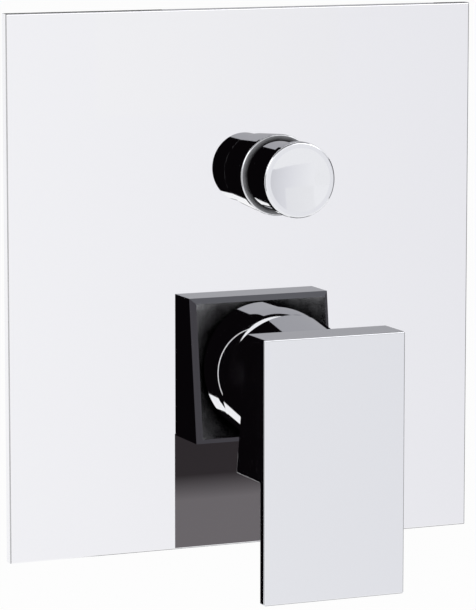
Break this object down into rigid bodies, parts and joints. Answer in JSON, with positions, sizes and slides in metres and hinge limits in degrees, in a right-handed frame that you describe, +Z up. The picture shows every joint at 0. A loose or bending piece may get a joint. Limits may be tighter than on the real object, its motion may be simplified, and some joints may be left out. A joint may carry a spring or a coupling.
{
  "type": "concealed mixer tap",
  "caption": "Wall-mounted concealed shower mixer: flat rectangular plate, square collar with single flat lever, and round pull diverter knob above, on an in-wall brass body.",
  "frame": {"origin": "centre of the wall plate's back edge, in the plane of the finished wall", "axes": "+Z up, +Y into the wall, +X to the right as seen from the front, so the front faces -Y"},
  "size_m": [0.166, 0.1245, 0.184],
  "materials": {
    "chrome": "polished chrome plate",
    "brass": "cast and turned brass",
    "seal_rubber": "black nitrile rubber",
    "steel": "stainless steel",
    "cartridge_plastic": "moulded acetal",
    "washer_plastic": "pressed fibre",
    "plug_plastic": "grey moulded plug",
    "ceramic": "lapped alumina"
  },
  "bodies": {
    "fixed": {"valve_body": "brass", "wall_plate": "chrome", "plate_gasket": "seal_rubber", "lever_collar": "chrome", "collar_screws": "steel", "cartridge_sleeve": "chrome", "sleeve_o_ring": "seal_rubber", "cartridge_nut": "brass", "cartridge_housing": "cartridge_plastic", "cartridge_base": "cartridge_plastic", "base_seals": "seal_rubber", "fixed_disc": "ceramic", "diverter_bonnet": "brass", "bonnet_washer": "washer_plastic", "cage_o_ring": "seal_rubber", "spindle_o_ring": "seal_rubber", "diverter_collar": "chrome", "diverter_guide": "chrome"},
    "turret": {"cartridge_turret": "cartridge_plastic", "stem_pivot_pin": "steel"},
    "disc": {"disc_carrier": "cartridge_plastic", "moving_disc": "ceramic"},
    "lever": {"lever": "chrome", "cartridge_stem": "brass", "lever_grub_screw": "steel", "grub_screw_plug": "plug_plastic"},
    "diverter": {"diverter_knob": "chrome", "diverter_spindle": "brass", "diverter_piston": "brass", "piston_seals": "seal_rubber"}
  },
  "joints": [
    {"name": "lever_swing", "type": "hinge", "parent": "fixed", "child": "turret", "pos_m": [0, -0.03, -0.0275], "axis": [0, -1, 0], "range_deg": [-45, 45]},
    {"name": "lever_lift", "type": "hinge", "parent": "turret", "child": "lever", "pos_m": [0, -0.03, -0.0275], "axis": [-1, 0, 0], "range_deg": [0, 20]},
    {"name": "disc_slide", "type": "slide", "parent": "turret", "child": "disc", "axis": [0, 0, -1], "range_m": [0, 0.004]},
    {"name": "diverter_pull", "type": "slide", "parent": "fixed", "child": "diverter", "axis": [0, -1, 0], "range_m": [0, 0.0075]}
  ],
  "couplings": [
    {"joint": "disc_slide", "follows": "lever_lift", "m_per_rad": 0.011442}
  ]
}
